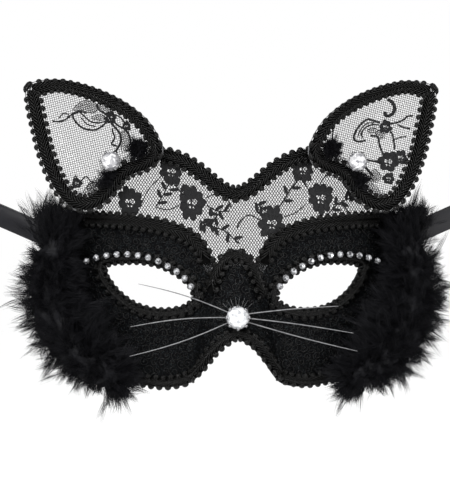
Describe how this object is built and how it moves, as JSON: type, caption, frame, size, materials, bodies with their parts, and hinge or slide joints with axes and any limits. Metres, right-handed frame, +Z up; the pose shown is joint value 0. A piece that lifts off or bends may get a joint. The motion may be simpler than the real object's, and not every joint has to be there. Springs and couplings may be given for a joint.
{
  "type": "cat half-mask",
  "caption": "Cat-shaped half-mask for the eyes and nose, with a lace crown and lace ears, braid edging, feather cheeks, sprung whiskers and ribbon ties.",
  "frame": {"origin": "where the lining meets the bridge of the wearer's nose, at eye height", "axes": "+Z up, -Y out of the mask's front, +Y towards the wearer, +X to the right of someone who looks at the front"},
  "size_m": [0.3004, 0.0724, 0.1343],
  "materials": {
    "lining_felt": "brushed felt",
    "shell_plastic": "vacuum-formed, matte",
    "glitter_fabric": "stretch fabric with a raised glitter scroll",
    "clear_film": "clear, slightly crinkled",
    "lace": "fine net with woven flowers",
    "gimp_braid": "corded, slight sheen",
    "stone_foil": "silver foil",
    "clear_stone": "faceted, clear",
    "glue_felt": "felt",
    "clear_filament": "clear nylon, glossy",
    "marabou": "soft down",
    "boa_cord": "twisted thread",
    "satin_ribbon": "satin"
  },
  "bodies": {
    "mask": {"face_lining": "lining_felt", "mask_shell": "shell_plastic", "cover_fabric": "glitter_fabric", "crown_film": "clear_film", "crown_lace": "lace", "crown_braid": "gimp_braid", "brow_braid_left": "gimp_braid", "brow_braid_right": "gimp_braid", "nose_arch_braid": "gimp_braid", "lower_braid": "gimp_braid", "eye_braid_left": "gimp_braid", "eye_braid_right": "gimp_braid", "stone_cups_left": "stone_foil", "stone_cups_right": "stone_foil", "stones_left": "clear_stone", "stones_right": "clear_stone", "nose_stone": "clear_stone", "nose_stone_cup": "stone_foil", "whisker_hub": "glue_felt", "whisker_bristles": "clear_filament", "ear_film_left": "clear_film", "ear_film_right": "clear_film", "ear_lace_left": "lace", "ear_lace_right": "lace", "ear_braid_left": "gimp_braid", "ear_braid_right": "gimp_braid", "ear_pad_left": "glue_felt", "ear_pad_right": "glue_felt", "ear_stone_cup_left": "stone_foil", "ear_stone_cup_right": "stone_foil", "ear_stone_left": "clear_stone", "ear_stone_right": "clear_stone", "ear_tuft_left": "marabou", "ear_tuft_right": "marabou", "ear_ball_left": "marabou", "ear_ball_right": "marabou", "boa_left": "marabou", "boa_right": "marabou", "boa_core_left": "boa_cord", "boa_core_right": "boa_cord", "ribbon_left": "satin_ribbon", "ribbon_right": "satin_ribbon", "ribbon_patch_left": "glue_felt", "ribbon_patch_right": "glue_felt", "tie_knot_left": "satin_ribbon", "tie_knot_right": "satin_ribbon", "tie_loop_left": "satin_ribbon", "tie_loop_right": "satin_ribbon"},
    "whisker_left_upper": {"whisker_left_upper": "clear_filament"},
    "whisker_left_middle": {"whisker_left_middle": "clear_filament"},
    "whisker_left_lower": {"whisker_left_lower": "clear_filament"},
    "whisker_right_upper": {"whisker_right_upper": "clear_filament"},
    "whisker_right_middle": {"whisker_right_middle": "clear_filament"},
    "whisker_right_lower": {"whisker_right_lower": "clear_filament"}
  },
  "joints": [
    {"name": "whisker_left_upper_flex", "type": "hinge", "parent": "mask", "child": "whisker_left_upper", "pos_m": [-0.00152, -0.0158, -0.0121], "axis": [0, 1, 0], "range_deg": [-10, 10], "stiffness_Nm_per_rad": 0.0005},
    {"name": "whisker_left_middle_flex", "type": "hinge", "parent": "mask", "child": "whisker_left_middle", "pos_m": [-0.00152, -0.017, -0.0132], "axis": [0, 1, 0], "range_deg": [-10, 10], "stiffness_Nm_per_rad": 0.0005},
    {"name": "whisker_left_lower_flex", "type": "hinge", "parent": "mask", "child": "whisker_left_lower", "pos_m": [-0.00152, -0.0158, -0.0143], "axis": [0, 1, 0], "range_deg": [-10, 10], "stiffness_Nm_per_rad": 0.0005},
    {"name": "whisker_right_upper_flex", "type": "hinge", "parent": "mask", "child": "whisker_right_upper", "pos_m": [0.00152, -0.0158, -0.0121], "axis": [0, -1, 0], "range_deg": [-10, 10], "stiffness_Nm_per_rad": 0.0005},
    {"name": "whisker_right_middle_flex", "type": "hinge", "parent": "mask", "child": "whisker_right_middle", "pos_m": [0.00152, -0.017, -0.0132], "axis": [0, -1, 0], "range_deg": [-10, 10], "stiffness_Nm_per_rad": 0.0005},
    {"name": "whisker_right_lower_flex", "type": "hinge", "parent": "mask", "child": "whisker_right_lower", "pos_m": [0.00152, -0.0158, -0.0143], "axis": [0, -1, 0], "range_deg": [-10, 10], "stiffness_Nm_per_rad": 0.0005}
  ]
}
